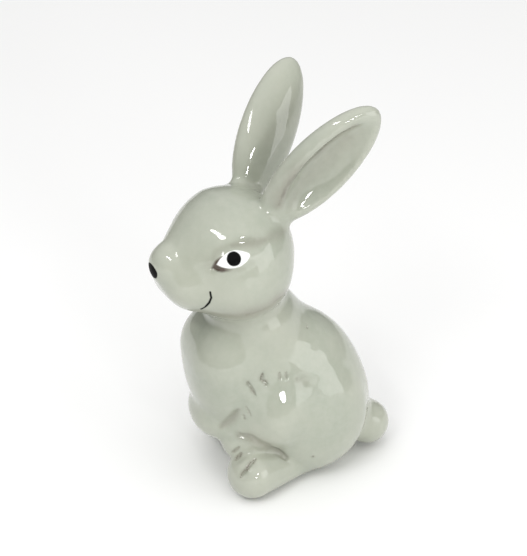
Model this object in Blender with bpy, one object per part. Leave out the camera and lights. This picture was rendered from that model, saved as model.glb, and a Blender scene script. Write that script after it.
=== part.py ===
# Sitting hare, a glazed earthenware figurine cast in one piece.
#
# The hare sits up on its haunches and faces -Y. Its left side is at +X and the
# ground is at z = 0. The figure is built as soft masses, the way a modeller adds
# clay: each mass is a ball or a limb, and each joins the rest over a named fillet.
# Strokes are then pressed into it for the toes, the fur and the eye sockets.
# The tables below are in millimetres on the modeller's figure, which is brought
# to the height asked for at the end.

import math

import bmesh
import bpy
import numpy as np
from mathutils import Vector

HEIGHT = 0.118

# The skin: its cell before thinning, and how it is drawn onto the masses
SKIN_CELL = 0.7
SETTLE_ROUNDS = 9
RELAXING = 0.5
STEP_LIMIT = 0.6
PROBE = 0.05
LEAST_SLOPE = 0.05
LIFT_ROUNDS = 6
TRIANGLES = 9400
BALL_SUBDIVISIONS = 4
BALLS_IN_A_LIMB = 9
TINY = 1e-9
WELD = 1e-4

# The glaze, a grey green with a faint warm cast
GLAZE_COLOUR = (0.50, 0.52, 0.45, 1.0)
GLAZE_ROUGHNESS = 0.12

# Torso and lap: centre, radii and fillet of each ball
TORSO = [
    {"centre": (0.0, -8.0, 18.5), "radii": (16.0, 20.6, 20.0), "fillet": 0.0},
    {"centre": (0.0, -18.0, 34.3), "radii": (16.2, 22.5, 17.6), "fillet": 12.0},
    {"centre": (0.0, -22.6, 52.0), "radii": (15.0, 11.6, 9.8), "fillet": 9.0},
    {"centre": (0.0, -21.3, 7.0), "radii": (11.5, 8.6, 8.5), "fillet": 4.0},
]
TAIL = {"centre": (0.0, 12.9, 7.5), "radii": (6.4, 6.4, 6.7), "fillet": 5.0}

# Left side of the body, mirrored for the right
HAUNCH = {"centre": (9.0, -8.0, 18.5), "radii": (10.0, 16.9, 17.5), "fillet": 3.0}
KNEE = {"centre": (12.8, -17.5, 25.0), "radii": (7.0, 8.5, 9.0), "fillet": 4.0}
SHIN = {"start": (12.5, -19.0, 22.0), "end": (10.8, -29.0, 14.5), "radii": (7.5, 4.8), "fillet": 3.0}
ARM = {"start": (6.6, -32.2, 40.0), "end": (4.2, -30.3, 24.0), "radii": (8.6, 6.8), "fillet": 8.0}
PAW = {"centre": (2.6, -34.3, 19.9), "radii": (7.4, 6.1, 5.9), "fillet": 3.0}
FOOT = {"start": (16.0, -26.5, 7.0), "end": (8.5, -9.0, 5.0), "radii": (7.3, 4.9), "fillet": 1.2}

# Head, in its own axes: to the hare's left, forward, and up, from the middle of the head
HEAD_CENTRE = (0.0, -25.0, 70.6)
HEAD_TURN = 14.0
CRANIUM = {"centre": (0.0, 2.0, 1.2), "radii": (18.0, 15.4, 17.5), "fillet": 0.0}
BROW = {"centre": (0.0, 8.7, 6.8), "radii": (11.0, 9.2, 9.8), "fillet": 6.0}
SNOUT = {"start": (0.0, 8.0, 2.0), "end": (0.0, 22.3, 2.3), "radii": (14.2, 5.9), "fillet": 8.0}
MUZZLE = {"start": (0.0, 6.0, -5.0), "end": (0.0, 15.5, -5.0), "radii": (11.4, 8.0), "fillet": 6.0}
LIP = {"centre": (4.0, 17.0, -2.8), "radii": (6.5, 8.0, 6.6), "fillet": 3.0}
CHEEK = {"centre": (8.5, 4.5, -4.8), "radii": (9.6, 11.0, 8.0), "fillet": 6.0}
EYEBALL = {"start": (13.2, 12.4, 6.5), "end": (14.6, 7.6, 8.0), "radii": (2.1, 2.1), "fillet": 2.2}
NECK_FILLET = 4.0

# Ears, from the root to the tip in the head's axes
LEFT_EAR = {"root": (7.0, -3.5, 11.8), "tip": (20.0, -29.6, 45.0), "half_width": 9.7, "lean": 4.0}
RIGHT_EAR = {"root": (-7.0, -4.4, 12.0), "tip": (-19.0, -26.4, 45.4), "half_width": 8.7, "lean": -9.0}
EAR_HALF_DEPTH = 4.5
EAR_TAPER = -0.04
EAR_REACH = 1.2
EAR_FILLET = 3.5
EAR_RIM = 2.2
EAR_END_RIM = 4.4
HOLLOW = {"back": 1.0, "sphere": 8.0, "depth": 4.8, "rise": 1.5, "fillet": 1.4}

# Strokes of the modelling tool: where each starts and ends, how wide, how deep.
# They are on the left side, and the right side has the same.
BODY_STROKES = [
    {"start": (20.1, -27.2, 13.1), "end": (21.1, -30.9, 10.1), "radius": 0.9, "depth": 0.7},
    {"start": (16.4, -29.6, 13.8), "end": (16.8, -31.7, 12.2), "radius": 0.9, "depth": 0.5},
    {"start": (16.6, -27.8, 37.7), "end": (16.1, -25.7, 33.4), "radius": 1.2, "depth": 0.8},
    {"start": (15.8, -23.0, 39.6), "end": (16.1, -23.4, 36.9), "radius": 1.3, "depth": 0.8},
    {"start": (15.9, -18.4, 39.2), "end": (16.3, -18.2, 37.4), "radius": 0.9, "depth": 0.5},
    {"start": (15.8, -16.9, 39.6), "end": (16.3, -16.5, 37.6), "radius": 0.9, "depth": 0.5},
    {"start": (16.5, -12.2, 36.2), "end": (16.5, -11.6, 35.4), "radius": 3.0, "depth": 0.4},
    {"start": (12.2, -34.2, 21.4), "end": (14.6, -30.0, 27.4), "radius": 1.7, "depth": 0.6},
    {"start": (14.6, -30.0, 27.4), "end": (16.0, -28.2, 33.0), "radius": 2.2, "depth": 0.25},
]
HEAD_STROKES = [
    {"start": (13.6, 13.6, 9.2), "end": (17.4, 3.6, 12.3), "radius": 2.4, "depth": 0.3},
    {"start": (12.9, 15.6, 5.0), "end": (13.6, 14.2, 5.6), "radius": 2.4, "depth": 0.5},
]
STROKE_FILLET = 0.5


def remove_everything():
    for item in list(bpy.data.objects):
        bpy.data.objects.remove(item, do_unlink=True)


def smooth_join(first, second, fillet):
    # The lower of two distances, with a fillet where they are nearly equal
    if fillet <= 0.0:
        return np.minimum(first, second)
    overlap = np.maximum(fillet - np.abs(first - second), 0.0) / fillet
    return np.minimum(first, second) - overlap * overlap * fillet / 4.0


def smooth_cut(solid, tool, fillet):
    # What is left of the solid once the tool has been taken out of it
    return -smooth_join(-solid, tool, fillet)


def ball_distance(points, ball):
    local = (points - np.array(ball["centre"])) / np.array(ball["radii"])
    near = np.linalg.norm(local, axis=1)
    steep = np.linalg.norm(local / np.array(ball["radii"]), axis=1)
    return near * (near - 1.0) / np.maximum(steep, TINY)


def limb_distance(points, limb):
    start = np.array(limb["start"])
    along = np.array(limb["end"]) - start
    share = np.clip((points - start) @ along / (along @ along), 0.0, 1.0)
    radius = limb["radii"][0] + (limb["radii"][1] - limb["radii"][0]) * share
    return np.linalg.norm(points - start - share[:, None] * along, axis=1) - radius


def form_distance(points, form):
    if "start" in form:
        return limb_distance(points, form)
    return ball_distance(points, form)


def mirrored(form):
    flipped = dict(form)
    for key in ("centre", "start", "end"):
        if key in form:
            flipped[key] = (-form[key][0], form[key][1], form[key][2])
    return flipped


def body_forms():
    forms = list(TORSO)
    for form in (HAUNCH, KNEE, SHIN, ARM, PAW, FOOT):
        forms.append(form)
        forms.append(mirrored(form))
    forms.append(TAIL)
    return forms


def head_forms():
    return [CRANIUM, BROW, SNOUT, MUZZLE, LIP, mirrored(LIP), CHEEK, mirrored(CHEEK)]


def head_axes():
    turn = math.radians(HEAD_TURN)
    left = (math.cos(turn), math.sin(turn), 0.0)
    forward = (math.sin(turn), -math.cos(turn), 0.0)
    return np.array([left, forward, (0.0, 0.0, 1.0)])


def to_head(points):
    return (points - np.array(HEAD_CENTRE)) @ head_axes().T


def from_head(points):
    return np.array(points) @ head_axes() + np.array(HEAD_CENTRE)


def ear_axes(ear):
    # Along the ear, out of its hollow, and across it
    root = np.array(ear["root"])
    along = np.array(ear["tip"]) - root
    length = np.linalg.norm(along)
    along = along / length
    side = math.copysign(1.0, ear["root"][0])
    lean = math.radians(ear["lean"])
    open_to = np.array((side * math.cos(lean), math.sin(lean), 0.0))
    open_to = open_to - along * (open_to @ along)
    open_to = open_to / np.linalg.norm(open_to)
    across = np.cross(along, open_to)
    return np.array([across, along, open_to]), root, length


def ear_distance(points, ear):
    axes, root, length = ear_axes(ear)
    local = (points - root) @ axes.T
    share = np.clip(local[:, 1] / length * 2.0 - 1.0, -EAR_REACH, EAR_REACH)
    widening = 1.0 + EAR_TAPER * share
    local[:, 0] = local[:, 0] / widening
    local[:, 2] = local[:, 2] / widening
    middle = length / 2.0
    leaf = {"centre": (0.0, middle, 0.0), "radii": (ear["half_width"], middle, EAR_HALF_DEPTH)}
    back = -math.copysign(HOLLOW["back"], ear["root"][0])
    reach = HOLLOW["sphere"] + HOLLOW["depth"]
    flare = reach / math.sqrt(reach * reach - HOLLOW["sphere"] ** 2)
    out = EAR_HALF_DEPTH + HOLLOW["sphere"] - HOLLOW["rise"]
    half_width = (ear["half_width"] - EAR_RIM) * flare
    half_length = (middle - EAR_END_RIM) * flare
    hollow = {"centre": (back, middle + EAR_RIM, out), "radii": (half_width, half_length, reach)}
    return smooth_cut(ball_distance(local, leaf), ball_distance(local, hollow), HOLLOW["fillet"])


def joined(points, forms):
    total = None
    for form in forms:
        distance = form_distance(points, form)
        total = distance if total is None else smooth_join(total, distance, form["fillet"])
    return total


def clay_distance(points):
    # The figure before the strokes
    local = to_head(points)
    head = joined(local, head_forms())
    for ear in (LEFT_EAR, RIGHT_EAR):
        head = smooth_join(head, ear_distance(local, ear), EAR_FILLET)
    return smooth_join(joined(points, body_forms()), head, NECK_FILLET)


def slope_of(field, points):
    parts = []
    for axis in range(3):
        offset = np.zeros(3)
        offset[axis] = PROBE
        parts.append((field(points + offset) - field(points - offset)) / (2.0 * PROBE))
    return np.stack(parts, axis=1)


def onto_surface(field, points):
    rise = slope_of(field, points)
    steep = np.sqrt(np.maximum((rise * rise).sum(axis=1), LEAST_SLOPE))
    move = np.clip(field(points) / steep, -STEP_LIMIT, STEP_LIMIT)
    return points - rise * (move / steep)[:, None]


def lifted(stroke):
    # The tool runs above the clay, low enough to press in as deep as asked
    ends = np.array((stroke["start"], stroke["end"]))
    for turn in range(LIFT_ROUNDS):
        ends = onto_surface(clay_distance, ends)
    rise = slope_of(clay_distance, ends)
    rise = rise / np.linalg.norm(rise, axis=1)[:, None]
    ends = ends + rise * (stroke["radius"] - stroke["depth"])
    return {"start": ends[0], "end": ends[1], "radii": (stroke["radius"], stroke["radius"])}


def both_sides(strokes):
    return list(strokes) + [mirrored(stroke) for stroke in strokes]


def all_strokes():
    strokes = both_sides(BODY_STROKES)
    for stroke in both_sides(HEAD_STROKES):
        start, end = from_head([stroke["start"], stroke["end"]])
        strokes.append({"start": start, "end": end, "radius": stroke["radius"], "depth": stroke["depth"]})
    return [lifted(stroke) for stroke in strokes]


def eyeballs():
    balls = []
    for form in (EYEBALL, mirrored(EYEBALL)):
        start, end = from_head([form["start"], form["end"]])
        balls.append({"start": start, "end": end, "radii": form["radii"], "fillet": form["fillet"]})
    return balls


def carved_field():
    strokes = all_strokes()
    balls = eyeballs()

    def field(points):
        total = clay_distance(points)
        for stroke in strokes:
            total = smooth_cut(total, limb_distance(points, stroke), STROKE_FILLET)
        for ball in balls:
            total = smooth_join(total, limb_distance(points, ball), ball["fillet"])
        return total

    return field


def add_ball(mesh, centre, radii, axes):
    # A sphere stretched to the radii along the axes
    ball = bmesh.ops.create_icosphere(mesh, subdivisions=BALL_SUBDIVISIONS, radius=1.0)
    for vertex in ball["verts"]:
        spot = np.array(vertex.co) * np.array(radii)
        vertex.co = Vector(tuple(spot @ axes + np.array(centre)))


def rough_hare():
    # Every mass as a stretched sphere, or a row of spheres, overlapping its neighbours
    mesh = bmesh.new()
    upright = np.eye(3)
    groups = [(body_forms(), upright, lambda spot: np.array(spot))]
    groups.append((head_forms(), head_axes(), lambda spot: from_head([spot])[0]))
    for forms, axes, place in groups:
        for form in forms:
            if "start" not in form:
                add_ball(mesh, place(form["centre"]), form["radii"], axes)
                continue
            start = np.array(form["start"])
            end = np.array(form["end"])
            for step in range(BALLS_IN_A_LIMB):
                share = step / (BALLS_IN_A_LIMB - 1.0)
                radius = form["radii"][0] + (form["radii"][1] - form["radii"][0]) * share
                add_ball(mesh, place(start + (end - start) * share), (radius,) * 3, upright)
    for ear in (LEFT_EAR, RIGHT_EAR):
        axes, root, length = ear_axes(ear)
        middle = from_head([root + axes[1] * length / 2.0])[0]
        radii = (ear["half_width"], length / 2.0, EAR_HALF_DEPTH)
        add_ball(mesh, middle, radii, axes @ head_axes())
    data = bpy.data.meshes.new("hare")
    mesh.to_mesh(data)
    mesh.free()
    hare = bpy.data.objects.new("hare", data)
    bpy.context.scene.collection.objects.link(hare)
    return hare


def bake_modifiers(thing):
    graph = bpy.context.evaluated_depsgraph_get()
    baked = bpy.data.meshes.new_from_object(thing.evaluated_get(graph))
    old = thing.data
    thing.modifiers.clear()
    thing.data = baked
    bpy.data.meshes.remove(old)


def fuse(hare):
    remesh = hare.modifiers.new("fuse", "REMESH")
    remesh.mode = "VOXEL"
    remesh.voxel_size = SKIN_CELL
    remesh.adaptivity = 0.0
    bake_modifiers(hare)


def read_points(data):
    flat = np.empty(len(data.vertices) * 3, dtype=np.float64)
    data.vertices.foreach_get("co", flat)
    return flat.reshape(-1, 3)


def settle(hare):
    # Relax the skin sideways, then move each point onto the carved surface
    data = hare.data
    points = read_points(data)
    edges = np.empty(len(data.edges) * 2, dtype=np.int64)
    data.edges.foreach_get("vertices", edges)
    edges = edges.reshape(-1, 2)
    count = np.bincount(edges.ravel(), minlength=len(points)).astype(np.float64)
    field = carved_field()
    for turn in range(SETTLE_ROUNDS):
        total = np.zeros_like(points)
        np.add.at(total, edges[:, 0], points[edges[:, 1]])
        np.add.at(total, edges[:, 1], points[edges[:, 0]])
        points = points + RELAXING * (total / count[:, None] - points)
        points = onto_surface(field, points)
    data.vertices.foreach_set("co", points.ravel())
    data.update()


def thin_out(hare):
    faces = len(hare.data.polygons) * 2
    thinning = hare.modifiers.new("thin out", "DECIMATE")
    thinning.decimate_type = "COLLAPSE"
    thinning.ratio = min(1.0, TRIANGLES / faces)
    bake_modifiers(hare)


def cut_underside(hare):
    mesh = bmesh.new()
    mesh.from_mesh(hare.data)
    everything = list(mesh.verts) + list(mesh.edges) + list(mesh.faces)
    bmesh.ops.bisect_plane(
        mesh,
        geom=everything,
        dist=WELD,
        plane_co=(0.0, 0.0, 0.0),
        plane_no=(0.0, 0.0, 1.0),
        clear_inner=True,
    )
    rim = [edge for edge in mesh.edges if edge.is_boundary]
    bmesh.ops.edgeloop_fill(mesh, edges=rim)
    bmesh.ops.recalc_face_normals(mesh, faces=mesh.faces)
    bmesh.ops.triangulate(mesh, faces=mesh.faces)
    mesh.to_mesh(hare.data)
    mesh.free()


def scale_and_centre(hare):
    # Millimetres to metres, with the middle of the footprint's box over the origin
    points = read_points(hare.data)
    low = points.min(axis=0)
    high = points.max(axis=0)
    middle = (low + high) / 2.0
    points = points - np.array((middle[0], middle[1], 0.0))
    points = points * (HEIGHT / high[2])
    hare.data.vertices.foreach_set("co", points.ravel())
    hare.data.update()


def glaze(hare):
    material = bpy.data.materials.new("grey green glaze")
    material.use_nodes = True
    shader = material.node_tree.nodes["Principled BSDF"]
    shader.inputs["Base Color"].default_value = GLAZE_COLOUR
    shader.inputs["Roughness"].default_value = GLAZE_ROUGHNESS
    shader.inputs["Metallic"].default_value = 0.0
    hare.data.materials.clear()
    hare.data.materials.append(material)
    hare.data.shade_smooth()


def build_hare():
    remove_everything()
    hare = rough_hare()
    fuse(hare)
    settle(hare)
    thin_out(hare)
    cut_underside(hare)
    scale_and_centre(hare)
    glaze(hare)
    return hare


build_hare()
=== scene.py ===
# A small glazed earthenware hare that sits up on its haunches.
# The figure is one casting: its skin is the frame's solid, rounded off, pressed with
# the finer strokes of a modelling tool, and dipped in a grey green glaze.

import math

import bpy
import numpy as np
from mathutils import Matrix, Vector


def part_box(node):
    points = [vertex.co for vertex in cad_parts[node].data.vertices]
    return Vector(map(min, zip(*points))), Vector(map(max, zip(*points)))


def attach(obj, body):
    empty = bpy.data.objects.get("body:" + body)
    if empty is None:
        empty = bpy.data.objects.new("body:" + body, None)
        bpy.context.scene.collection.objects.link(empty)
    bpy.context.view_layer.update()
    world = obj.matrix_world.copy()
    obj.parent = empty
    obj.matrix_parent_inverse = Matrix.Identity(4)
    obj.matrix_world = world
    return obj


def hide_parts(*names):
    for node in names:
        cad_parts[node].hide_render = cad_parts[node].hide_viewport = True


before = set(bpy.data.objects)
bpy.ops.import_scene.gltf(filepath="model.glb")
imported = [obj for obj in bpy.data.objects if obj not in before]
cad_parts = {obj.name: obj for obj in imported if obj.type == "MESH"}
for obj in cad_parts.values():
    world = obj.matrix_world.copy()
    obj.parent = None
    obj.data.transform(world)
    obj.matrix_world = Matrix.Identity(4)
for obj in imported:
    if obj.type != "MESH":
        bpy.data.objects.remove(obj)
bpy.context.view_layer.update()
hareLow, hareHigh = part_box("hare")
mm = 0.001
bodyMiddle = 1.21 * mm  # the body's own middle lies a little to its left of the box's
lineEnds = 0.5  # the width of a stroke or stain at its ends, as a share of its middle's


# Small helpers

def pickOnly(piece):
    bpy.ops.object.select_all(action="DESELECT")
    piece.select_set(True)
    bpy.context.view_layer.objects.active = piece


def useModifier(piece, kind, settings):
    pickOnly(piece)
    bpy.ops.object.modifier_add(type=kind)
    modifier = piece.modifiers[-1]
    for key, value in settings.items():
        setattr(modifier, key, value)
    bpy.ops.object.modifier_apply(modifier=modifier.name)


def pointsOf(piece):
    flat = np.empty(len(piece.data.vertices) * 3, dtype=np.float32)
    piece.data.vertices.foreach_get("co", flat)
    return flat.reshape(-1, 3).astype(np.float64)


def edgesOf(piece):
    flat = np.empty(len(piece.data.edges) * 2, dtype=np.int32)
    piece.data.edges.foreach_get("vertices", flat)
    return flat.reshape(-1, 2)


def normalsOf(piece):
    flat = np.empty(len(piece.data.vertices) * 3, dtype=np.float32)
    piece.data.vertices.foreach_get("normal", flat)
    return flat.reshape(-1, 3).astype(np.float64)


# The head has its own axes, turned to the hare's left

head = {
    "centre": Vector((1.21, -8.46, 71.45)) * mm,
    "turn": math.radians(14.0),
}


def headMatrix():
    return Matrix.Translation(head["centre"]) @ Matrix.Rotation(head["turn"], 4, "Z")


def mirroredInBody(line):
    return [(2.0 * bodyMiddle / mm - x, y, z) for x, y, z in line]


def mirroredInHead(line):
    toHead = headMatrix().inverted()
    flipped = []
    for spot in line:
        local = toHead @ (Vector(spot) * mm)
        local.x = -local.x
        flipped.append(tuple((headMatrix() @ local) / mm))
    return flipped


def onSkin(piece, line, spacing):
    # Takes a line of spots in millimetres, fills it in and lays it on the skin, in metres
    spots = []
    ends = [Vector(spot) * mm for spot in line]
    for start, end in zip(ends, ends[1:]):
        count = max(1, round((end - start).length / spacing))
        for step in range(count):
            spots.append(start.lerp(end, step / count))
    spots.append(ends[-1])
    laid = []
    for spot in spots:
        found, place, normal, face = piece.closest_point_on_mesh(spot)
        laid.append(tuple(place))
    return np.array(laid)


def shareOfWidth(points, spots, width, farthest):
    # How far each point is from a line that narrows to its ends, as a share of its width,
    # looked for as far as the farthest share
    nearest = np.full(len(points), farthest)
    low = spots.min(axis=0) - width * farthest
    high = spots.max(axis=0) + width * farthest
    close = np.nonzero(np.all((points > low) & (points < high), axis=1))[0]
    for index, spot in enumerate(spots):
        along = (index + 0.5) / len(spots)
        widthHere = width * (lineEnds + (1.0 - lineEnds) * math.sin(math.pi * along))
        gap = np.linalg.norm(points[close] - spot, axis=1)
        nearest[close] = np.minimum(nearest[close], gap / widthHere)
    return nearest


# The skin: one closed mesh, drawn from the solid and rounded off between its facets

skin = {
    "name": "glazed_hare",
    "cell": 0.56 * mm,
    "weld": 0.005 * mm,
    "rounds": 36,
    "stepsInRound": 5,
    "smoothing": 0.5,
    "filling": -0.512,
}


def castSkin():
    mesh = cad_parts["hare"].data.copy()
    mesh.materials.clear()
    piece = bpy.data.objects.new(skin["name"], mesh)
    bpy.context.collection.objects.link(piece)
    pickOnly(piece)
    bpy.ops.object.mode_set(mode="EDIT")
    bpy.ops.mesh.select_all(action="SELECT")
    bpy.ops.mesh.remove_doubles(threshold=skin["weld"])
    bpy.ops.mesh.normals_make_consistent(inside=False)
    bpy.ops.object.mode_set(mode="OBJECT")
    useModifier(piece, "REMESH", {"mode": "VOXEL", "voxel_size": skin["cell"], "adaptivity": 0.0})
    for turn in range(skin["rounds"]):
        useModifier(piece, "SMOOTH", {"factor": skin["smoothing"], "iterations": skin["stepsInRound"]})
        useModifier(piece, "SMOOTH", {"factor": skin["filling"], "iterations": skin["stepsInRound"]})
    return piece


# The clay over each eye and on each thigh is wiped smooth again

easing = {
    "brow": [(17.7, -19.3, 80.5), (17.8, -14.6, 82.4), (18.5, -9.3, 83.0)],
    "browWidth": 4.0 * mm,
    "thigh": [(17.4, -7.0, 33.0), (18.2, -1.5, 34.0), (17.6, 4.0, 33.0)],
    "thighWidth": 10.0 * mm,
    "spotsInWidth": 8.0,
    "leastWeight": 0.01,
    "rounds": 60,
}


def easeClay(piece):
    points = pointsOf(piece)
    weights = np.zeros(len(points))
    areas = [
        (easing["brow"], easing["browWidth"]),
        (mirroredInHead(easing["brow"]), easing["browWidth"]),
        (easing["thigh"], easing["thighWidth"]),
        (mirroredInBody(easing["thigh"]), easing["thighWidth"]),
    ]
    for line, width in areas:
        spots = onSkin(piece, line, width / easing["spotsInWidth"])
        share = shareOfWidth(points, spots, width, 1.0)
        weights = np.maximum(weights, 1.0 - share * share)
    group = piece.vertex_groups.new(name="eased")
    for index in np.nonzero(weights > easing["leastWeight"])[0]:
        group.add([int(index)], float(weights[index]), "REPLACE")
    useModifier(piece, "SMOOTH", {
        "vertex_group": group.name, "factor": skin["smoothing"], "iterations": easing["rounds"],
    })
    piece.vertex_groups.clear()


# Strokes of the modelling tool on the left side, in millimetres.
# Each is pressed in, and the same one is pressed in on the right.

strokes = {
    "spacing": 0.25 * mm,
    "finerWithin": 1.7,
    "cuts": 2,
    "leastWeight": 0.002,
    "body": [
        {"line": [(20.3, -10.0, 13.8), (21.7, -12.4, 12.5), (22.0, -14.6, 9.8)],
         "width": 0.8, "depth": 0.5},
        {"line": [(17.0, -13.3, 14.2), (17.2, -14.8, 12.5)], "width": 0.8, "depth": 0.45},
        {"line": [(16.8, -13.8, 16.1), (16.0, -15.4, 14.5)], "width": 0.9, "depth": 0.3},
        {"line": [(17.0, -11.3, 38.3), (16.9, -10.1, 36.1), (17.0, -9.0, 33.6)],
         "width": 0.8, "depth": 0.4},
        {"line": [(16.7, -6.9, 40.2), (16.8, -7.0, 38.2), (17.5, -5.7, 37.0)],
         "width": 0.9, "depth": 0.45},
        {"line": [(16.9, -1.9, 39.8), (17.4, -2.0, 37.9)], "width": 0.7, "depth": 0.3},
        {"line": [(16.8, 0.0, 39.5), (17.3, -0.1, 38.0)], "width": 0.7, "depth": 0.3},
        {"line": [(17.6, 4.2, 36.6), (17.5, 4.8, 36.1)], "width": 2.4, "depth": 0.25},
        {"line": [(16.9, -11.7, 29.9), (17.3, -10.5, 27.1)], "width": 0.6, "depth": 0.25},
        {"line": [(16.4, -12.4, 26.4), (16.4, -12.2, 25.8)], "width": 0.8, "depth": 0.3},
        {"line": [(12.4, -17.4, 21.7), (13.9, -15.4, 24.5), (15.8, -13.8, 28.6)],
         "width": 1.2, "depth": 0.12},
        {"line": [(16.2, -13.4, 20.1), (18.2, -10.6, 19.9), (19.5, -6.8, 17.3), (17.8, -2.8, 13.7),
                  (18.2, -0.2, 11.0)],
         "width": 2.0, "depth": 0.5},
    ],
    "head": [
        {"line": [(16.7, -20.9, 76.3), (18.0, -19.2, 76.7)], "width": 0.9, "depth": 0.3},
    ],
    "pinholes": [(19.4, 7.5, 10.7), (9.7, 8.4, 49.0)],
    "pinholeWidth": 0.5,
    "pinholeDepth": 0.3,
}


def pressStrokes(piece):
    laid = []

    def lay(line, width, depth):
        laid.append((onSkin(piece, line, strokes["spacing"]), width * mm, depth * mm))

    for region, mirroredLine in (("body", mirroredInBody), ("head", mirroredInHead)):
        for stroke in strokes[region]:
            for line in (stroke["line"], mirroredLine(stroke["line"])):
                lay(line, stroke["width"], stroke["depth"])
    for spot in strokes["pinholes"]:
        lay([spot, spot], strokes["pinholeWidth"], strokes["pinholeDepth"])

    # Finer faces where the tool goes
    points = pointsOf(piece)
    near = np.zeros(len(points), dtype=bool)
    for spots, width, depth in laid:
        near |= shareOfWidth(points, spots, width, 2.0) < strokes["finerWithin"]
    pickOnly(piece)
    bpy.ops.object.mode_set(mode="EDIT")
    bpy.ops.mesh.select_mode(type="VERT")
    bpy.ops.mesh.select_all(action="DESELECT")
    bpy.ops.object.mode_set(mode="OBJECT")
    piece.data.vertices.foreach_set("select", near)
    bpy.ops.object.mode_set(mode="EDIT")
    bpy.ops.mesh.subdivide(number_cuts=strokes["cuts"], smoothness=0.0)
    bpy.ops.object.mode_set(mode="OBJECT")

    deepest = max(depth for spots, width, depth in laid)
    points = pointsOf(piece)
    weights = np.zeros(len(points))
    for spots, width, depth in laid:
        share = shareOfWidth(points, spots, width, 1.0)
        weights = np.maximum(weights, depth / deepest * (1.0 - share * share) ** 2)
    group = piece.vertex_groups.new(name="tool strokes")
    for index in np.nonzero(weights > strokes["leastWeight"])[0]:
        group.add([int(index)], float(weights[index]), "REPLACE")
    useModifier(piece, "DISPLACE", {
        "vertex_group": group.name, "strength": -deepest, "mid_level": 0.0, "direction": "NORMAL",
    })
    piece.vertex_groups.clear()


# The foot of the figure is ground flat

foot = {"groundTo": 0.12 * mm}


def grindFoot(piece):
    points = pointsOf(piece)
    low = points[:, 2] < foot["groundTo"]
    points[low, 2] = 0.0
    piece.data.vertices.foreach_set("co", points.astype(np.float32).ravel())
    piece.data.update()


# Brown glaze where it ran and pooled, with painted shade, in the hollows of the form and along some lines
# on the left side, in millimetres, which the right side has too

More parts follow.
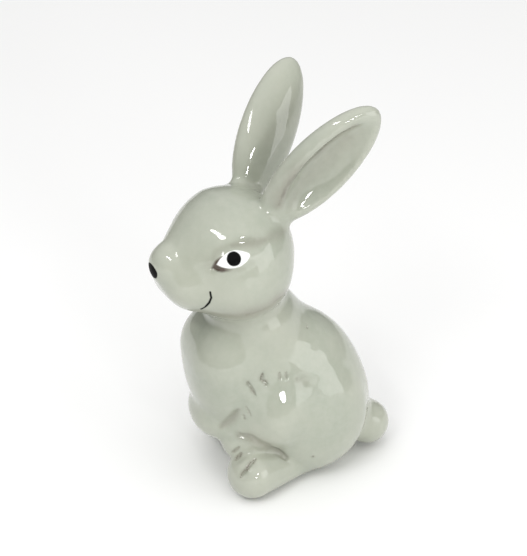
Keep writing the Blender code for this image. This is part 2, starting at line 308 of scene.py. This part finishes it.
poolingAndShade = {
    "spacing": 0.5 * mm,
    "falling": 1.5,
    "least": 0.01,
    "spreading": 60,
    "hollowFrom": 0.12 * mm,
    "hollowTo": 1.3 * mm,
    "mostInHollows": 0.5,
    "head": [
        # Round each eye: brown glaze and painted shade in the brow's crease, the inner corner and below
        {"line": [(16.6, -20.4, 79.0), (16.4, -19.2, 81.1), (16.7, -15.3, 82.6)],
         "width": 1.7, "amount": 0.35},
        {"line": [(16.7, -15.3, 82.6), (16.8, -11.7, 82.7), (16.8, -8.4, 82.5), (16.3, -6.0, 82.8)],
         "width": 2.0, "amount": 0.62},
        {"line": [(16.3, -6.0, 82.8), (14.1, -2.3, 82.7), (11.0, 0.8, 82.0)],
         "width": 2.4, "amount": 0.42},
        {"line": [(16.2, -21.6, 77.6), (16.8, -20.8, 76.6)], "width": 2.8, "amount": 0.28},
        {"line": [(19.3, -17.8, 76.6), (20.0, -13.0, 76.8)], "width": 1.3, "amount": 0.3},
        # In the ear's hollow: brown glaze and painted shade
        {"line": [(11.8, -0.9, 90.6), (12.6, 1.0, 96.7), (13.4, 3.9, 100.6), (11.9, 8.9, 104.0),
                  (12.5, 14.5, 109.0), (14.4, 19.4, 112.6)], "width": 3.4, "amount": 0.8},
        {"line": [(11.8, -0.9, 90.6), (12.6, 1.0, 96.7)], "width": 4.5, "amount": 0.62},
        {"line": [(9.8, 3.0, 90.0), (9.6, 7.0, 96.0), (10.0, 12.5, 102.0), (11.0, 18.0, 108.0)],
         "width": 7.5, "amount": 0.42},
        # Under the chin, along the neck: painted shadow
        {"line": [(15.8, 0.1, 64.6), (19.1, -3.6, 64.2), (19.6, -6.3, 62.3), (20.3, -10.8, 61.6),
                  (18.5, -16.0, 60.4), (14.9, -21.0, 60.2)], "width": 5.0, "amount": 0.6},
        {"line": [(15.8, 0.1, 65.3), (19.1, -3.6, 65.2), (19.6, -6.3, 63.3), (20.3, -10.8, 62.8),
                  (18.5, -16.0, 61.4), (14.9, -21.0, 61.0)], "width": 3.6, "amount": 0.74},
        {"line": [(14.9, -21.0, 60.6), (12.7, -25.0, 60.2)], "width": 3.4, "amount": 0.66},
    ],
    "body": [
        # Along the creases, the tool's grooves and in the pinholes: brown glaze and painted shade
        {"line": [(12.0, -17.8, 21.2), (13.9, -15.4, 24.5), (15.8, -13.8, 28.6)],
         "width": 1.9, "amount": 0.6},
        {"line": [(12.8, -16.9, 22.4), (14.0, -15.3, 24.8)], "width": 0.9, "amount": 0.7},
        {"line": [(14.6, -14.7, 26.2), (15.5, -14.0, 28.0)], "width": 0.8, "amount": 0.65},
        {"line": [(16.9, -11.7, 29.9), (17.3, -10.5, 27.1)], "width": 0.6, "amount": 0.45},
        {"line": [(16.4, -12.4, 26.4), (16.4, -12.2, 25.8)], "width": 0.7, "amount": 0.55},
        {"line": [(17.0, -11.3, 38.4), (16.9, -10.8, 37.4)], "width": 0.9, "amount": 0.75},
        {"line": [(16.9, -10.3, 36.3), (17.0, -9.2, 34.0)], "width": 0.8, "amount": 0.8},
        {"line": [(16.7, -6.9, 39.8), (16.8, -7.2, 38.6)], "width": 1.0, "amount": 0.9},
        {"line": [(16.8, -7.0, 38.2), (17.5, -5.9, 37.2)], "width": 0.8, "amount": 0.85},
        {"line": [(16.9, -1.9, 39.6), (17.4, -2.0, 38.2)], "width": 0.8, "amount": 0.6},
        {"line": [(16.8, 0.0, 39.3), (17.3, -0.1, 38.4)], "width": 0.8, "amount": 0.55},
        {"line": [(17.6, 3.4, 37.2), (17.5, 5.6, 35.4)], "width": 2.4, "amount": 0.26},
        {"line": [(17.8, 3.0, 37.5), (17.8, 3.1, 37.2)], "width": 0.9, "amount": 0.5},
        {"line": [(20.3, -10.0, 13.8), (21.7, -12.4, 12.5), (22.0, -14.6, 9.8)],
         "width": 0.85, "amount": 0.92},
        {"line": [(17.0, -13.3, 14.2), (17.2, -14.8, 12.5)], "width": 0.85, "amount": 0.9},
        {"line": [(16.8, -13.8, 16.1), (16.0, -15.4, 14.5)], "width": 0.8, "amount": 0.8},
        {"line": [(16.2, -13.4, 20.1), (18.2, -10.6, 19.9), (19.5, -6.8, 17.3), (17.8, -2.8, 13.7),
                  (18.2, -0.2, 11.0)], "width": 2.9, "amount": 0.68},
        {"line": [(19.4, 7.5, 10.7), (19.4, 7.5, 10.8)], "width": 0.6, "amount": 0.9},
        {"line": [(9.7, 8.4, 49.0), (9.7, 8.4, 49.1)], "width": 0.5, "amount": 0.6},
    ],
}


def poolGlazeAndShade(piece):
    points = pointsOf(piece)
    normals = normalsOf(piece)
    edges = edgesOf(piece)
    count = np.bincount(edges.ravel(), minlength=len(points)).astype(np.float64)
    spread = points.copy()
    for turn in range(poolingAndShade["spreading"]):
        total = np.zeros_like(spread)
        for axis in range(3):
            for here, there in ((0, 1), (1, 0)):
                weights = spread[edges[:, there], axis]
                total[:, axis] += np.bincount(edges[:, here], weights=weights, minlength=len(points))
        spread = total / count[:, None]
    # Painted shade in the hollows of the form, with the brown of the glaze pooled there
    hollow = ((spread - points) * normals).sum(axis=1)
    reach = poolingAndShade["hollowTo"] - poolingAndShade["hollowFrom"]
    amount = np.clip((hollow - poolingAndShade["hollowFrom"]) / reach, 0.0, 1.0) * poolingAndShade["mostInHollows"]
    crest = np.clip((-hollow - poolingAndShade["hollowFrom"]) / reach, 0.0, 1.0)
    for region, mirroredLine in (("head", mirroredInHead), ("body", mirroredInBody)):
        for stainAndShade in poolingAndShade[region]:
            for line in (stainAndShade["line"], mirroredLine(stainAndShade["line"])):
                spots = onSkin(piece, line, poolingAndShade["spacing"])
                share = shareOfWidth(points, spots, stainAndShade["width"] * mm, 2.0)
                fading = stainAndShade["amount"] * np.exp(-share * share * poolingAndShade["falling"])
                amount = np.maximum(amount, fading - poolingAndShade["least"])
    for name, values in (("pooledAndShaded", amount), ("crest", crest)):
        layer = piece.data.attributes.new(name, "FLOAT", "POINT")
        layer.data.foreach_set("value", np.clip(values, 0.0, 1.0).astype(np.float32))


# The painted marks: eyes, nose and mouth, laid on with a brush.
# Places are in millimetres on the head's axes, on its left side, and the right side has the same.

brush = {
    "eyeInner": (13.3, -15.0, 6.55),
    "eyeOuter": (16.9, -6.6, 9.15),
    "eyeAbove": (14.6, -9.3, 10.1),
    "eyeBelow": (15.8, -12.1, 5.7),
    "eyeHalfLength": 4.8,
    "eyeHalfHeight": 2.3,
    "eyeEnd": 4.5,
    "eyeDepth": 0.25,
    "pupilAt": (0.0, 0.15),
    "pupilRadius": 2.0,
    "cornerShift": (-1.6, -0.45),
    "cornerFrom": -0.8,
    "cornerTo": -3.4,
    "cornerSpread": 2.5,
    "noseAt": (0.0, -28.6, 1.7),
    "noseRadii": (2.7, 3.0, 2.2),
    "noseEdge": (0.95, 1.05),
    "mouthTurns": [(12.6, -16.8, -1.9), (12.8, -16.6, -3.6), (12.3, -17.0, -5.3), (10.9, -17.7, -7.4),
                   (9.5, -18.2, -8.6)],
    "mouthWidth": 0.3,
    "mouthWobble": 0.3,
    "softness": 0.12,
    "wobble": 0.14,
    "wobbleNoise": (260.0, 1.0, 0.5),
    "wobbleRange": (0.3, 0.7),
}


class Recipe:
    # A material's nodes, added one after another
    def __init__(self, name):
        self.material = bpy.data.materials.new(name)
        self.material.use_nodes = True
        self.nodes = self.material.node_tree.nodes
        self.links = self.material.node_tree.links
        self.shader = self.nodes["Principled BSDF"]

    def add(self, kind, settings, inputs):
        node = self.nodes.new(kind)
        for key, value in settings.items():
            setattr(node, key, value)
        for socket, value in inputs.items():
            if isinstance(value, bpy.types.NodeSocket):
                self.links.new(value, node.inputs[socket])
            else:
                node.inputs[socket].default_value = value
        return node

    def math(self, operation, first, second=0.0):
        return self.add("ShaderNodeMath", {"operation": operation}, {0: first, 1: second}).outputs[0]

    def ramp(self, value, low, high, outLow=0.0, outHigh=1.0):
        inputs = {"Value": value, "From Min": low, "From Max": high, "To Min": outLow, "To Max": outHigh}
        return self.add("ShaderNodeMapRange", {"clamp": True}, inputs).outputs["Result"]

    def blendColours(self, factor, first, second):
        node = self.nodes.new("ShaderNodeMix")
        node.data_type = "RGBA"
        for index, value in ((0, factor), (6, first), (7, second)):
            if isinstance(value, bpy.types.NodeSocket):
                self.links.new(value, node.inputs[index])
            else:
                node.inputs[index].default_value = value
        return node.outputs[2]

    def noise(self, vector, scale, detail, roughness):
        inputs = {"Vector": vector, "Scale": scale, "Detail": detail, "Roughness": roughness}
        return self.add("ShaderNodeTexNoise", {}, inputs).outputs["Fac"]

    def vectorMath(self, operation, first, second):
        return self.add("ShaderNodeVectorMath", {"operation": operation}, {0: first, 1: second})


def arcGap(recipe, spot, offset, shake):
    # How far a spot is from the middles of an eye's two arcs, whichever is more
    gaps = []
    for side in (-1.0, 1.0):
        gap = recipe.vectorMath("DISTANCE", spot, (0.0, side * offset, 0.0)).outputs["Value"]
        gaps.append(recipe.math("ADD", gap, shake))
    return recipe.math("MAXIMUM", gaps[0], gaps[1])


def paintEye(recipe, folded, shake):
    # The eye's own axes: along it, up across it, and out
    inner, outer = Vector(brush["eyeInner"]), Vector(brush["eyeOuter"])
    along = (outer - inner).normalized()
    out = along.cross(Vector(brush["eyeAbove"]) - Vector(brush["eyeBelow"])).normalized()
    up = out.cross(along)
    turn = Matrix((along, up, out)).transposed().to_euler()
    inputs = {"Vector": folded, "Location": (inner + outer) / 2.0 * mm, "Rotation": tuple(turn)}
    eye = recipe.add("ShaderNodeMapping", {"vector_type": "TEXTURE"}, inputs).outputs[0]
    flat = recipe.vectorMath("MULTIPLY", eye, (1.0, 1.0, brush["eyeDepth"])).outputs[0]
    onward = recipe.add("ShaderNodeSeparateXYZ", {}, {0: flat}).outputs["X"]
    soft = brush["softness"] * mm

    # The white lies between two arcs, with its outer end cut a little blunt
    halfLength, halfHeight = brush["eyeHalfLength"] * mm, brush["eyeHalfHeight"] * mm
    arc = (halfLength ** 2 + halfHeight ** 2) / (2.0 * halfHeight)
    gap = arcGap(recipe, flat, arc - halfHeight, shake)
    inEye = recipe.ramp(gap, arc - soft, arc + soft, 1.0, 0.0)
    end = brush["eyeEnd"] * mm
    blunt = recipe.ramp(recipe.math("ADD", onward, shake), end - soft, end + soft, 1.0, 0.0)
    inEye = recipe.math("MULTIPLY", inEye, blunt)

    radius = brush["pupilRadius"] * mm
    pupilAt = Vector((*brush["pupilAt"], 0.0)) * mm
    gap = recipe.math("ADD", recipe.vectorMath("DISTANCE", flat, pupilAt).outputs["Value"], shake)
    inPupil = recipe.ramp(gap, radius - soft, radius + soft, 1.0, 0.0)

    # Dark brown and painted shade lie in the inner corner, and show past the white below it
    shift = Vector((*brush["cornerShift"], 0.0)) * mm
    moved = recipe.vectorMath("SUBTRACT", flat, shift).outputs[0]
    spread = brush["cornerSpread"] * soft
    gap = arcGap(recipe, moved, arc - halfHeight, shake)
    corner = recipe.ramp(gap, arc - spread, arc + spread, 1.0, 0.0)
    fading = recipe.ramp(onward, brush["cornerTo"] * mm, brush["cornerFrom"] * mm, 1.0, 0.0)
    return inEye, inPupil, recipe.math("MULTIPLY", corner, fading)


def paintNose(recipe, folded, shake):
    # A dab on the tip of the snout
    radii = Vector(brush["noseRadii"]) * mm
    inputs = {"Vector": folded, "Location": Vector(brush["noseAt"]) * mm, "Scale": radii}
    nose = recipe.add("ShaderNodeMapping", {"vector_type": "TEXTURE"}, inputs).outputs[0]
    reach = recipe.add("ShaderNodeVectorMath", {"operation": "LENGTH"}, {0: nose}).outputs["Value"]
    reach = recipe.math("ADD", reach, recipe.math("MULTIPLY", shake, 1.0 / radii.x))
    return recipe.ramp(reach, *brush["noseEdge"], 1.0, 0.0)


def paintMouth(recipe, folded, shake):
    # One thin line on each cheek
    line = None
    turns = [Vector(spot) * mm for spot in brush["mouthTurns"]]
    for start, end in zip(turns, turns[1:]):
        run = end - start
        offset = recipe.vectorMath("SUBTRACT", folded, start).outputs[0]
        share = recipe.vectorMath("DOT_PRODUCT", offset, run).outputs["Value"]
        share = recipe.ramp(share, 0.0, run.length_squared)
        inputs = {0: run, "Scale": share}
        nearest = recipe.add("ShaderNodeVectorMath", {"operation": "SCALE"}, inputs).outputs[0]
        gap = recipe.vectorMath("DISTANCE", offset, nearest).outputs["Value"]
        line = gap if line is None else recipe.math("MINIMUM", line, gap)
    line = recipe.math("ADD", line, recipe.math("MULTIPLY", shake, brush["mouthWobble"]))
    half, soft = brush["mouthWidth"] * mm, brush["softness"] * mm
    return recipe.ramp(line, half - soft, half + soft, 1.0, 0.0)


def paintFace(recipe, place, colour):
    # Folds the head down its middle, so that both sides get the same marks
    inputs = {"Vector": place, "Location": head["centre"], "Rotation": (0.0, 0.0, head["turn"])}
    local = recipe.add("ShaderNodeMapping", {"vector_type": "TEXTURE"}, inputs).outputs[0]
    parts = recipe.add("ShaderNodeSeparateXYZ", {}, {0: local})
    left = recipe.math("ABSOLUTE", parts.outputs["X"])
    inputs = {"X": left, "Y": parts.outputs["Y"], "Z": parts.outputs["Z"]}
    folded = recipe.add("ShaderNodeCombineXYZ", {}, inputs).outputs[0]
    wobble = brush["wobble"] * mm
    shake = recipe.ramp(recipe.noise(place, *brush["wobbleNoise"]), *brush["wobbleRange"], -wobble, wobble)

    inEye, inPupil, corner = paintEye(recipe, folded, shake)
    inNose = paintNose(recipe, folded, shake)
    inMouth = paintMouth(recipe, folded, shake)
    # Dark brown and painted shade in the inner corner of each eye
    colour = recipe.blendColours(corner, colour, glaze["darkBrownAndShade"])
    colour = recipe.blendColours(inEye, colour, glaze["eyeWhite"])
    dark = recipe.math("MAXIMUM", inNose, recipe.math("MAXIMUM", inPupil, inMouth))
    painted = recipe.math("MAXIMUM", dark, inEye)
    return recipe.blendColours(dark, colour, glaze["black"]), painted


# The glaze. Each noise is a scale, a detail and a roughness.

glaze = {
    "slot": "glaze",
    "light": (0.41, 0.43, 0.352, 1.0),
    "deep": (0.355, 0.385, 0.315, 1.0),
    "pale": (0.47, 0.48, 0.41, 1.0),
    "brownAndShade": (0.175, 0.155, 0.12, 1.0),
    "darkBrownAndShade": (0.07, 0.048, 0.033, 1.0),
    "eyeWhite": (0.86, 0.87, 0.85, 1.0),
    "black": (0.002, 0.002, 0.002, 1.0),
    "clouds": (45.0, 3.0, 0.5),
    "cloudRange": (0.35, 0.65),
    "mottle": (420.0, 3.0, 0.6),
    "mottleRange": (0.35, 0.75),
    "mostMottle": 0.35,
    "mostOnCrests": 0.45,
    "patches": (300.0, 4.0, 0.6),
    "patchRange": (0.3, 0.7),
    "patchShares": (0.85, 1.05),
    "mostBrownAndShade": 0.7,
    "darkFrom": 0.68,
    "mostDark": 0.75,
    "ripple": (160.0, 2.0, 0.5),
    "grain": (1500.0, 2.0, 0.5),
    "grainShare": 0.06,
    "rippleStrength": 0.25,
    "rippleHeight": 0.2 * mm,
    "bodyIndex": 1.15,
    "coatIndex": 1.55,
    "coatRoughness": 0.02,
    "roughness": 0.45,
    "paintRoughness": 0.6,
    "coat": 1.0,
    "paintCoat": 0.05,
}


def makeGlaze():
    recipe = Recipe("grey green glaze")
    sockets = recipe.shader.inputs
    place = recipe.add("ShaderNodeTexCoord", {}, {}).outputs["Object"]
    clouds = recipe.ramp(recipe.noise(place, *glaze["clouds"]), *glaze["cloudRange"])
    colour = recipe.blendColours(clouds, glaze["deep"], glaze["light"])
    mottle = recipe.noise(place, *glaze["mottle"])
    mottle = recipe.ramp(mottle, *glaze["mottleRange"], 0.0, glaze["mostMottle"])
    colour = recipe.blendColours(mottle, colour, glaze["pale"])
    crest = recipe.add("ShaderNodeAttribute", {"attribute_name": "crest"}, {}).outputs["Fac"]
    crest = recipe.math("MULTIPLY", crest, glaze["mostOnCrests"])
    colour = recipe.blendColours(crest, colour, glaze["pale"])

    # Brown glaze where it pooled, with painted shade in the hollows and creases, darker where the mark is
    # deepest
    pooledAndShaded = recipe.add("ShaderNodeAttribute", {"attribute_name": "pooledAndShaded"}, {}).outputs["Fac"]
    patches = recipe.noise(place, *glaze["patches"])
    patches = recipe.ramp(patches, *glaze["patchRange"], *glaze["patchShares"])
    stainAndShade = recipe.math("MULTIPLY", pooledAndShaded, patches)
    brownAndShade = recipe.ramp(stainAndShade, 0.0, 1.0, 0.0, glaze["mostBrownAndShade"])
    colour = recipe.blendColours(brownAndShade, colour, glaze["brownAndShade"])
    dark = recipe.ramp(stainAndShade, glaze["darkFrom"], 1.0, 0.0, glaze["mostDark"])
    colour = recipe.blendColours(dark, colour, glaze["darkBrownAndShade"])
    colour, painted = paintFace(recipe, place, colour)
    recipe.links.new(colour, sockets["Base Color"])

    # The glaze ripples a little, and the paint on it is duller
    ripple = recipe.noise(place, *glaze["ripple"])
    grain = recipe.math("MULTIPLY", recipe.noise(place, *glaze["grain"]), glaze["grainShare"])
    height = recipe.math("ADD", ripple, grain)
    inputs = {"Strength": glaze["rippleStrength"], "Distance": glaze["rippleHeight"], "Height": height}
    bump = recipe.add("ShaderNodeBump", {}, inputs)
    recipe.links.new(bump.outputs["Normal"], sockets["Normal"])
    roughness = recipe.ramp(painted, 0.0, 1.0, glaze["roughness"], glaze["paintRoughness"])
    recipe.links.new(roughness, sockets["Roughness"])
    coat = recipe.ramp(painted, 0.0, 1.0, glaze["coat"], glaze["paintCoat"])
    recipe.links.new(coat, sockets["Coat Weight"])
    sockets["IOR"].default_value = glaze["bodyIndex"]
    sockets["Coat Roughness"].default_value = glaze["coatRoughness"]
    sockets["Coat IOR"].default_value = glaze["coatIndex"]
    return recipe.material


# The stage: a pale floor under a sky that is bright above, soft lamps, and the camera.
# Angles are in degrees, and a lamp's distance and size are in metres.

stage = {
    "floorSize": 2.4,
    "floorColour": (0.93, 0.93, 0.925, 1.0),
    "floorRoughness": 0.9,
    "floorShine": 0.1,
    "lowSky": 0.14,
    "highSky": 1.05,
    "lowFrom": 0.15,
    "highFrom": 0.80,
}

lamps = {
    "side lamp": {"azimuth": 93.0, "elevation": 9.0, "distance": 0.8, "size": (0.15, 0.045), "roll": 0.0,
                  "power": 0.8, "glossy": True},
    "ear lamp": {"azimuth": 99.0, "elevation": 19.0, "distance": 0.8, "size": (0.12, 0.06), "roll": 0.0,
                 "power": 0.6, "glossy": True},
    "front strip": {"azimuth": 44.0, "elevation": 47.0, "distance": 0.8, "size": (0.40, 0.08), "roll": -24.0,
                    "power": 1.3, "glossy": True},
    "window": {"azimuth": 135.0, "elevation": 9.0, "distance": 0.75, "size": (0.5, 0.32), "roll": 0.0,
               "power": 1.15, "glossy": True},
    "overhead cloth": {"azimuth": 50.0, "elevation": 70.0, "distance": 0.9, "size": (0.7, 0.7), "roll": 0.0,
                       "power": 1.2, "glossy": False},
}

camera = {
    "target": Vector((-5.8, -0.5, 57.8)) * mm,
    "azimuth": 75.0,
    "elevation": 30.0,
    "distance": 0.55,
    "lens": 130.7,
    "sensor": 36.0,
    "nearest": 0.01,
}


def direction(azimuth, elevation):
    # Azimuth 0 is straight ahead of the hare and 90 is on its left
    across, above = math.radians(azimuth), math.radians(elevation)
    flat = math.cos(above)
    return Vector((math.sin(across) * flat, -math.cos(across) * flat, math.sin(above)))


def lookAt(thing, place, target):
    turn = (place - target).to_track_quat("Z", "Y").to_matrix().to_4x4()
    thing.matrix_world = Matrix.Translation(place) @ turn


def setStage():
    bpy.ops.object.select_all(action="DESELECT")
    bpy.ops.mesh.primitive_plane_add(size=stage["floorSize"], location=(0.0, 0.0, 0.0))
    floor = bpy.context.object
    floor.name = "floor"
    paint = Recipe("pale floor")
    paint.shader.inputs["Base Color"].default_value = stage["floorColour"]
    paint.shader.inputs["Roughness"].default_value = stage["floorRoughness"]
    paint.shader.inputs["Specular IOR Level"].default_value = stage["floorShine"]
    floor.data.materials.append(paint.material)
    world = bpy.data.worlds.new("pale room")
    world.use_nodes = True
    nodes, links = world.node_tree.nodes, world.node_tree.links
    place = nodes.new("ShaderNodeTexCoord")
    parts = nodes.new("ShaderNodeSeparateXYZ")
    rise = nodes.new("ShaderNodeMapRange")
    rise.inputs["From Min"].default_value = stage["lowFrom"]
    rise.inputs["From Max"].default_value = stage["highFrom"]
    rise.inputs["To Min"].default_value = stage["lowSky"]
    rise.inputs["To Max"].default_value = stage["highSky"]
    background = nodes["Background"]
    background.inputs["Color"].default_value = (1.0, 1.0, 1.0, 1.0)
    links.new(place.outputs["Generated"], parts.inputs[0])
    links.new(parts.outputs["Z"], rise.inputs["Value"])
    links.new(rise.outputs["Result"], background.inputs["Strength"])
    bpy.context.scene.world = world
    bpy.context.scene.view_settings.view_transform = "Standard"


def hangLamps():
    middle = (hareLow + hareHigh) / 2.0
    for name, lamp in lamps.items():
        data = bpy.data.lights.new(name, "AREA")
        data.shape = "RECTANGLE" if name == "window" else "ELLIPSE"
        data.size, data.size_y = lamp["size"]
        data.energy = lamp["power"]
        thing = bpy.data.objects.new(name, data)
        thing.visible_glossy = lamp["glossy"]
        bpy.context.collection.objects.link(thing)
        lookAt(thing, middle + direction(lamp["azimuth"], lamp["elevation"]) * lamp["distance"], middle)
        thing.matrix_world = thing.matrix_world @ Matrix.Rotation(math.radians(lamp["roll"]), 4, "Z")


def setCamera():
    data = bpy.data.cameras.new("camera")
    data.lens = camera["lens"]
    data.sensor_width = camera["sensor"]
    data.sensor_fit = "HORIZONTAL"
    data.clip_start = camera["nearest"]
    thing = bpy.data.objects.new("camera", data)
    bpy.context.collection.objects.link(thing)
    place = camera["target"] + direction(camera["azimuth"], camera["elevation"]) * camera["distance"]
    lookAt(thing, place, camera["target"])
    bpy.context.scene.camera = thing


print("casting the skin")
hare = castSkin()
easeClay(hare)
print("pressing the strokes", len(hare.data.polygons))
pressStrokes(hare)
grindFoot(hare)
print("pooling the glaze", len(hare.data.polygons))
# Brown glaze and painted shade in the hollows and creases
poolGlazeAndShade(hare)
hare.data.materials.append(makeGlaze())
hare.data.shade_smooth()
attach(hare, "root")
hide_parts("hare")
print("setting the stage")
setStage()
hangLamps()
setCamera()
